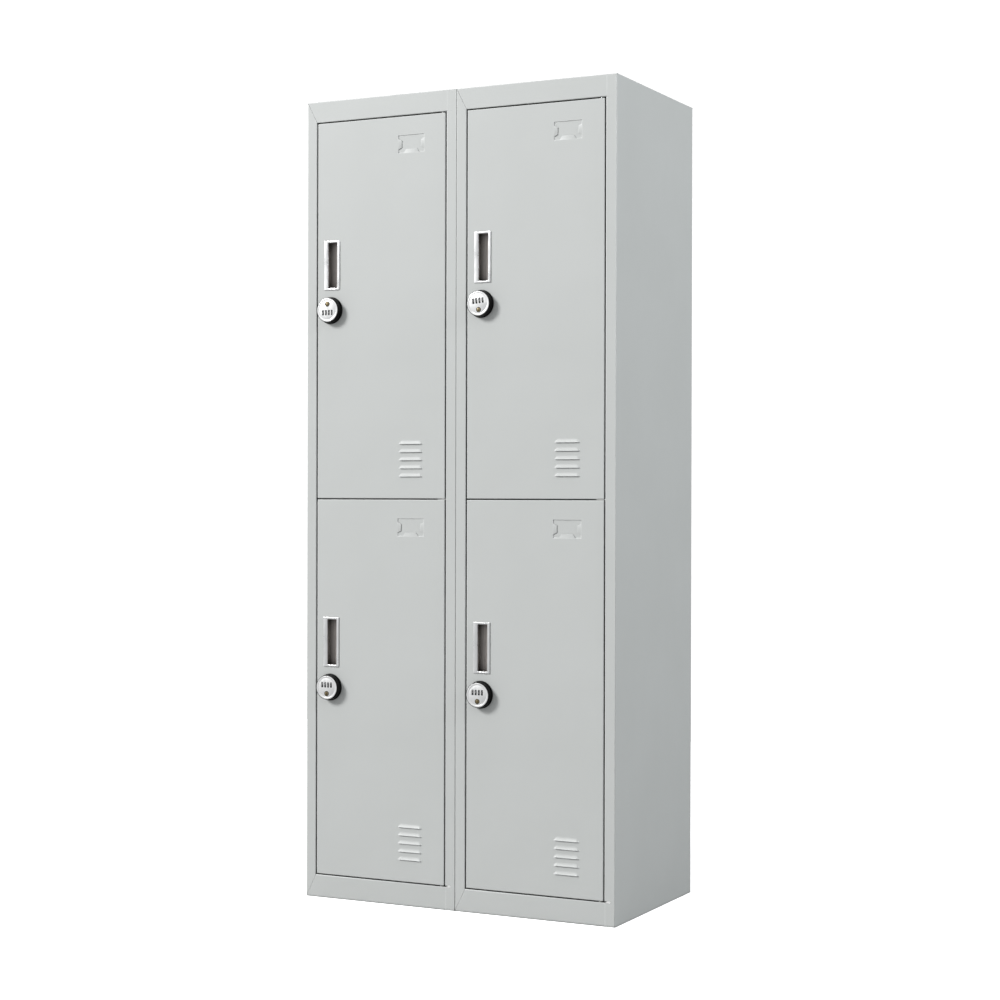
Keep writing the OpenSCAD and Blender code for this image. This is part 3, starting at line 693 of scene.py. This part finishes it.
def lock_base_mesh():
    """Base plate and threaded barrel, with the nut that clamps them to the door."""
    bm = bmesh.new()
    bore = SPINDLE_R + RUNNING_FIT
    thread = []
    for k in range(24):
        y = SHEET + NUT_T + 0.5 + k * 0.45
        thread += [(BARREL_R, y), (BARREL_R - 0.3, y + 0.22)]
    profile = [(bore, -BASE_T), (BASE_R - 0.9, -BASE_T), (BASE_R - 0.3, -BASE_T + 0.25),
               (BASE_R, -BASE_T + 0.9), (BASE_R, -0.5), (BASE_R - 0.3, 0.0), (BARREL_R, 0.0)]
    profile += thread + [(BARREL_R - 0.6, BARREL_END), (bore, BARREL_END)]
    lathe(bm, profile, closed=True)
    rows = []
    for y, chamfer in [(SHEET + NUT_T, 1.4), (SHEET + NUT_T - 0.8, 0.0), (SHEET, 0.0)]:
        row = []
        for k in range(72):
            angle = math.radians(5 * k)
            to_flat = (angle % math.radians(60)) - math.radians(30)
            radius = min(NUT_APOTHEM / math.cos(to_flat), NUT_CORNER_R - chamfer)
            row.append(bm.verts.new((radius * math.sin(angle), y, radius * math.cos(angle))))
        rows.append(row)
    for y in (SHEET, SHEET + NUT_T):
        angles = [math.radians(5 * k) for k in range(72)]
        rows.append([bm.verts.new((BARREL_R * math.sin(a), y, BARREL_R * math.cos(a))) for a in angles])
    stitch(bm, rows + [rows[0]], True, 1)
    bmesh.ops.recalc_face_normals(bm, faces=bm.faces)
    return bm


def wheel_places():
    return [((k - 1.5) * WHEEL_PITCH, WHEEL_Y, WHEEL_RISE) for k in range(4)]


def key_hole_cutter(end):
    """A round bar that clears the key plug, from in front of the face to end."""
    tool = bmesh.new()
    radius = KEY_R + RUNNING_FIT
    lathe(tool, [(0, FACE_Y - 1), (radius, FACE_Y - 1), (radius, end), (0, end)], 64,
          centre=(0, 0, -KEY_DROP))
    facing_out(tool)
    return to_object(tool, "cutter", [])


def lock_knob(name):
    """Round black knob with its spindle, the pockets for wheels and key, and the wheels' axle."""
    bm = bmesh.new()
    rim_r = FACE_R + FACE_RIM
    profile = [(0.0, FACE_Y + FACE_T), (FACE_R + 0.05, FACE_Y + FACE_T), (FACE_R + 0.05, FACE_Y + 0.3),
               (FACE_R + 0.3, FACE_Y), (rim_r - 0.4, FACE_Y), (rim_r, FACE_Y + 0.45),
               (rim_r + 0.5, FACE_Y + 4.5), (KNOB_REAR_R, KNOB_REAR - 1.0),
               (KNOB_REAR_R - 0.3, KNOB_REAR - 0.3), (KNOB_REAR_R - 0.9, KNOB_REAR),
               (SPINDLE_R, KNOB_REAR), (SPINDLE_R, SPINDLE_END - 0.4),
               (SPINDLE_R - 0.4, SPINDLE_END), (0.0, SPINDLE_END)]
    lathe(bm, profile)
    facing_out(bm)
    knob = to_object(bm, name, [BLACK])
    cutters = []
    for x, y, z in wheel_places():
        tool = bmesh.new()
        x0, x1 = x - POCKET_W / 2, x + POCKET_W / 2
        lathe(tool, [(0, x0), (POCKET_R, x0), (POCKET_R, x1), (0, x1)], 48, axis="X", centre=(0, y, z))
        facing_out(tool)
        cutters.append(to_object(tool, "cutter", []))
    cutters.append(key_hole_cutter(KNOB_REAR - 2))
    cut(knob, cutters)
    extra = bmesh.new()
    extra.from_mesh(knob.data)
    extra.transform(Matrix.Scale(1 / MM, 4))
    lathe(extra, [(0, -AXLE_REACH), (AXLE_R, -AXLE_REACH), (AXLE_R, AXLE_REACH), (0, AXLE_REACH)],
          24, axis="X", centre=(0, WHEEL_Y, WHEEL_RISE))
    half = CAM_SQUARE / 2
    square = [(half, half), (-half, half), (-half, -half), (half, -half)]
    prism(extra, square, SPINDLE_END, SPINDLE_END + CAM_T)
    bpy.data.objects.remove(knob)
    return to_object(extra, name, [BLACK])


def lock_face(name):
    """Bright plate over the knob, with four windows, a hole for the key plug and a pressed ring."""
    bm = bmesh.new()
    profile = [(0.0, FACE_Y + 0.1), (21.6, FACE_Y + 0.1), (22.0, FACE_Y + 0.25), (22.6, FACE_Y + 0.25),
               (23.0, FACE_Y), (FACE_R - 0.6, FACE_Y), (FACE_R - 0.15, FACE_Y + 0.15),
               (FACE_R, FACE_Y + 0.6), (FACE_R, FACE_Y + FACE_T), (0.0, FACE_Y + FACE_T)]
    lathe(bm, profile, 128)
    facing_out(bm)
    face = to_object(bm, name, [FACE])
    cutters = []
    for x, _, z in wheel_places():
        tool = bmesh.new()
        prism(tool, rounded_outline(WINDOW_W, WINDOW_H, 0.8, x, z, 5), FACE_Y - 1, FACE_Y + FACE_T + 1)
        facing_out(tool)
        cutters.append(to_object(tool, "cutter", []))
    cutters.append(key_hole_cutter(FACE_Y + 3))
    cut(face, cutters)
    add_bevel(face, 0.15, 2, 50)
    return apply_modifiers(face)


def figure_mesh(figure, height):
    """One printed figure as a flat mesh, its middle at the origin, in millimetres."""
    curve = bpy.data.curves.new("figure", "FONT")
    curve.body = str(figure)
    curve.align_x = "CENTER"
    curve.resolution_u = 4
    text = bpy.data.objects.new("figure", curve)
    bpy.context.scene.collection.objects.link(text)
    bpy.context.view_layer.update()
    mesh = bpy.data.meshes.new_from_object(text.evaluated_get(bpy.context.evaluated_depsgraph_get()))
    low = min(v.co.y for v in mesh.vertices)
    high = max(v.co.y for v in mesh.vertices)
    scale = height / (high - low)
    for v in mesh.vertices:
        v.co = Vector((v.co.x * scale * 0.95, (v.co.y - (low + high) / 2) * scale, 0))
    bpy.data.objects.remove(text)
    bpy.data.curves.remove(curve)
    return mesh


def number_wheel_mesh():
    """A ten-sided number wheel with thumb grooves and a white figure on each side."""
    bm = bmesh.new()
    steps = 120
    side = WHEEL_W / 2
    bore_r = AXLE_R + RUNNING_FIT
    outline = [(-side, -0.9), (-side, -0.35), (0.35 - side, 0.0),
               (side - 0.35, 0.0), (side, -0.35), (side, -0.9)]
    rows = []
    for x, less in outline:
        row = []
        for k in range(steps):
            angle = 2 * math.pi * k / steps
            from_groove = math.degrees(angle) % 36
            from_groove = min(from_groove, 36 - from_groove)
            groove = 0.35 * (1 - smooth_step(from_groove / 5.5))
            radius = WHEEL_R - groove + less
            row.append(bm.verts.new((x, -radius * math.sin(angle), radius * math.cos(angle))))
        rows.append(row)
    for x in (side, -side):
        turns = [2 * math.pi * k / steps for k in range(steps)]
        rows.append([bm.verts.new((x, -bore_r * math.sin(t), bore_r * math.cos(t))) for t in turns])
    stitch(bm, rows + [rows[0]], True)
    bmesh.ops.recalc_face_normals(bm, faces=bm.faces)
    for figure in range(10):
        flat = figure_mesh(figure, FIGURE_H)
        middle = math.radians(90 + 36 * figure)
        first_vert, first_face = len(bm.verts), len(bm.faces)
        bm.from_mesh(flat)
        bm.verts.ensure_lookup_table()
        bm.faces.ensure_lookup_table()
        for v in bm.verts[first_vert:]:
            angle = middle - v.co.y / WHEEL_R
            radius = WHEEL_R + 0.03
            v.co = Vector((v.co.x, -radius * math.sin(angle), radius * math.cos(angle)))
        for face in bm.faces[first_face:]:
            face.material_index = 1
        bpy.data.meshes.remove(flat)
    return bm


def key_plug(name):
    """Turned brass plug in a dark ring, with its keyway."""
    bm = bmesh.new()
    front = FACE_Y - 0.5
    profile = [(0.0, front + 0.12), (3.9, front + 0.12), (4.2, front + 0.3), (4.5, front + 0.3), (4.7, front),
               (KEY_R - 0.4, front), (KEY_R, front + 0.4), (KEY_R, KNOB_REAR - 2.2), (0.0, KNOB_REAR - 2.2)]
    lathe(bm, profile, 64, material=lambda k: 0 if k in (0, 6, 7) else 1)
    facing_out(bm)
    plug = to_object(bm, name, [BRASS, RING])
    tool = bmesh.new()
    prism(tool, rounded_outline(1.2, 7.0, 0.5, steps=4), front - 1, front + 6)
    facing_out(tool)
    cut(plug, [to_object(tool, "cutter", [])])
    return plug


def lock_cam(name):
    """Flat cam hanging from the spindle, held by a washer and a domed screw."""
    bm = bmesh.new()
    y0, y1 = SPINDLE_END, SPINDLE_END + CAM_T
    low = CAM_TIP_R - CAM_REACH
    neck = math.degrees(math.acos(CAM_TIP_R / CAM_HUB_R))
    outline = arc(0, 0, CAM_HUB_R, -neck, 180 + neck, 32) + arc(0, low, CAM_TIP_R, 180, 360, 24)
    prism(bm, outline, y0, y1)
    facing_out(bm)
    cam = to_object(bm, name, [ZINC])
    add_bevel(cam, 0.3, 3)
    apply_modifiers(cam)
    both = bmesh.new()
    both.from_mesh(cam.data)
    both.transform(Matrix.Scale(1 / MM, 4))
    washer = [(0, 0), (5.5, 0), (5.6, 0.15), (5.6, 0.65), (5.5, 0.8)]
    screw = [(3.6, 0.8), (3.6, 1.7), (3.3, 2.3), (2.4, 2.7), (1.5, 2.8), (1.2, 1.6), (0, 1.6)]
    lathe(both, [(radius, y1 + along) for radius, along in washer + screw], 48)
    bmesh.ops.recalc_face_normals(both, faces=both.faces)
    bpy.data.objects.remove(cam)
    return to_object(both, name, [ZINC])


# ---- Putting pieces in place ----

def place(piece, name, matrix, body, slot_name, *nodes):
    """A copy of the piece as name, set in the row frame, riding on its body."""
    copy = piece.copy()
    copy.data = piece.data.copy()
    copy.name = name
    copy.data.name = name
    bpy.context.scene.collection.objects.link(copy)
    copy.matrix_world = matrix
    bpy.context.view_layer.update()
    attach(copy, body)
    if nodes:
        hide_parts(*nodes)
    return copy


def build_doors():
    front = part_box("bottom_panels")[0].y
    low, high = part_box("upper_left_door")
    size = (high - low) / MM
    sheet = DoorSheet(size.x, size.z, (high.y - front) / MM)
    door = to_object(sheet.bm, "door_sheet", [PAINT], 28)
    thicken(door, SHEET, 28)
    tongues = to_object(card_tongues(sheet), "tongues", [PAINT])
    handle = to_object(pull_handle_mesh(), "handle", [HANDLE, CUP])
    base = to_object(lock_base_mesh(), "base", [BLACK, ZINC])
    knob = lock_knob("knob")
    face = lock_face("face")
    wheel = to_object(number_wheel_mesh(), "wheel", [WHEEL, WHITE])
    plug = key_plug("plug")
    cam = lock_cam("cam")
    for d in DOORS:
        low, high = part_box(f"{d}_door")
        body = f"{d}_door"
        corner = Matrix.Translation((low.x, front, low.z))
        place(door, f"{d}_door_sheet", corner, body, "body_paint", f"{d}_door")
        place(tongues, f"{d}_card_tongues", corner, body, "body_paint")
        low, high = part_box(f"{d}_pull_handle")
        middle = Matrix.Translation(((low.x + high.x) / 2, front, (low.z + high.z) / 2))
        place(handle, f"{d}_pull", middle, body, "handle_silver", f"{d}_pull_handle")
        low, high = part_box(f"{d}_lock_base")
        centre = Vector(((low.x + high.x) / 2, front, (low.z + high.z) / 2))
        low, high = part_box(f"{d}_key_plug")
        key = (low + high) / 2
        turn = math.atan2(centre.x - key.x, centre.z - key.z)
        at_lock = Matrix.Translation(centre)
        turned = at_lock @ Matrix.Rotation(turn, 4, "Y")
        place(base, f"{d}_base", at_lock, body, "lock_black", f"{d}_lock_base")
        place(knob, f"{d}_knob", turned, f"{d}_knob", "lock_black", f"{d}_lock_knob")
        place(face, f"{d}_face", turned, f"{d}_knob", "lock_silver", f"{d}_lock_face")
        place(cam, f"{d}_cam", at_lock, f"{d}_knob", "zinc_steel", f"{d}_lock_cam")
        at_key = turned @ Matrix.Translation((0, 0, -KEY_DROP * MM))
        place(plug, f"{d}_key", at_key, f"{d}_key", "key_brass", f"{d}_key_plug")
        for k, (x, y, z) in enumerate(wheel_places(), 1):
            at_wheel = turned @ Matrix.Translation((x * MM, y * MM, z * MM))
            place(wheel, f"{d}_wheel_{k}", at_wheel, f"{d}_wheel_{k}", "wheel_black",
                  f"{d}_number_wheel_{k}")
    for source in (door, tongues, handle, base, knob, face, wheel, plug, cam):
        bpy.data.objects.remove(source)


def dress(node, material, bevel):
    """Gives a CAD node its material and small round edges."""
    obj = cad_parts[node]
    obj.data.materials.clear()
    obj.data.materials.append(material)
    weld = obj.modifiers.new("weld", "WELD")
    weld.merge_threshold = 1e-6
    flat = obj.modifiers.new("flat", "DECIMATE")
    flat.decimate_type = "DISSOLVE"
    flat.angle_limit = math.radians(0.5)
    add_bevel(obj, bevel, 2, 40)


def dress_carcass():
    painted = ["left_bay_left_side", "left_bay_right_side", "right_bay_left_side",
               "right_bay_right_side", "top_panels", "bottom_panels", "back_panels", "middle_shelves"]
    painted += [f"{d}_door_stiffener" for d in DOORS]
    for node in painted:
        dress(node, PAINT, 0.15)
    dress("hinge_pivots", ZINC, 0.3)
    dress("joining_bolts", ZINC, 0.4)
    dress("clothes_rails", CHROME, 0.2)
    dress("rail_sockets", SOCKET, 0.5)


# ---- Studio ----

def add_area(name, where, target, size, power, colour=(1, 1, 1)):
    data = bpy.data.lights.new(name, "AREA")
    data.shape = "RECTANGLE"
    data.size, data.size_y = size
    data.energy = power
    data.color = colour
    light = bpy.data.objects.new(name, data)
    light.location = where
    light.rotation_euler = (Vector(target) - Vector(where)).to_track_quat("-Z", "Y").to_euler()
    bpy.context.scene.collection.objects.link(light)


def build_floor():
    bm = bmesh.new()
    corners = [bm.verts.new((x, y, 0)) for x, y in [(-3, -3), (3, -3), (3, 3), (-3, 3)]]
    bm.faces.new(corners)
    mesh = bpy.data.meshes.new("floor")
    bm.to_mesh(mesh)
    bm.free()
    mesh.materials.append(pale_floor())
    floor = bpy.data.objects.new("floor", mesh)
    bpy.context.scene.collection.objects.link(floor)


def build_world():
    """White behind the object, and a soft studio that is brighter on the left for the rest."""
    world = bpy.data.worlds.new("studio")
    bpy.context.scene.world = world
    world.use_nodes = True
    tree = world.node_tree
    seen = tree.nodes["Background"]
    seen.inputs["Color"].default_value = (1, 1, 1, 1)
    seen.inputs["Strength"].default_value = 1.1
    soft = tree.nodes.new("ShaderNodeBackground")
    soft.inputs["Color"].default_value = (0.97, 0.99, 1, 1)
    direction = tree.nodes.new("ShaderNodeTexCoord")
    split = tree.nodes.new("ShaderNodeSeparateXYZ")
    tree.links.new(direction.outputs["Generated"], split.inputs[0])
    fade = tree.nodes.new("ShaderNodeMapRange")
    fade.inputs["From Min"].default_value = -1
    fade.inputs["From Max"].default_value = 1
    fade.inputs["To Min"].default_value = WORLD_LEFT
    fade.inputs["To Max"].default_value = WORLD_RIGHT
    tree.links.new(split.outputs["X"], fade.inputs["Value"])
    tree.links.new(fade.outputs["Result"], soft.inputs["Strength"])
    path = tree.nodes.new("ShaderNodeLightPath")
    mix = tree.nodes.new("ShaderNodeMixShader")
    tree.links.new(path.outputs["Is Camera Ray"], mix.inputs[0])
    tree.links.new(soft.outputs[0], mix.inputs[1])
    tree.links.new(seen.outputs[0], mix.inputs[2])
    tree.links.new(mix.outputs[0], tree.nodes["World Output"].inputs["Surface"])


def build_studio():
    build_floor()
    build_world()
    add_area("key", (-8.6, -8.3, 7.8), (0, 0, 1.0), (3.4, 3.4), 1570)
    add_area("fill", (5.0, -0.2, 3.6), (0.3, 0.2, 1.4), (2.6, 2.6), 178, (0.95, 0.98, 1))
    data = bpy.data.lights.new("overhead", "SUN")
    data.energy = 0.6
    data.angle = math.radians(8)
    bpy.context.scene.collection.objects.link(bpy.data.objects.new("overhead", data))


def build_camera():
    """Stands at the height of the cabinet's middle, to the right of its front."""
    data = bpy.data.cameras.new("camera")
    data.sensor_width = 36.0
    data.lens = 73.9
    data.clip_end = 100.0
    camera = bpy.data.objects.new("camera", data)
    yaw, pitch, roll = (math.radians(a) for a in (26.61, -0.145, 0.128))
    turn = Matrix.Rotation(yaw, 4, "Z") @ Matrix.Rotation(math.pi / 2 + pitch, 4, "X")
    turn = turn @ Matrix.Rotation(roll, 4, "Z")
    camera.matrix_world = Matrix.Translation((2.157, -4.2995, 0.937)) @ turn
    bpy.context.scene.collection.objects.link(camera)
    bpy.context.scene.camera = camera


build_camera()
build_doors()
dress_carcass()
build_studio()
bpy.context.scene.view_settings.view_transform = "Standard"
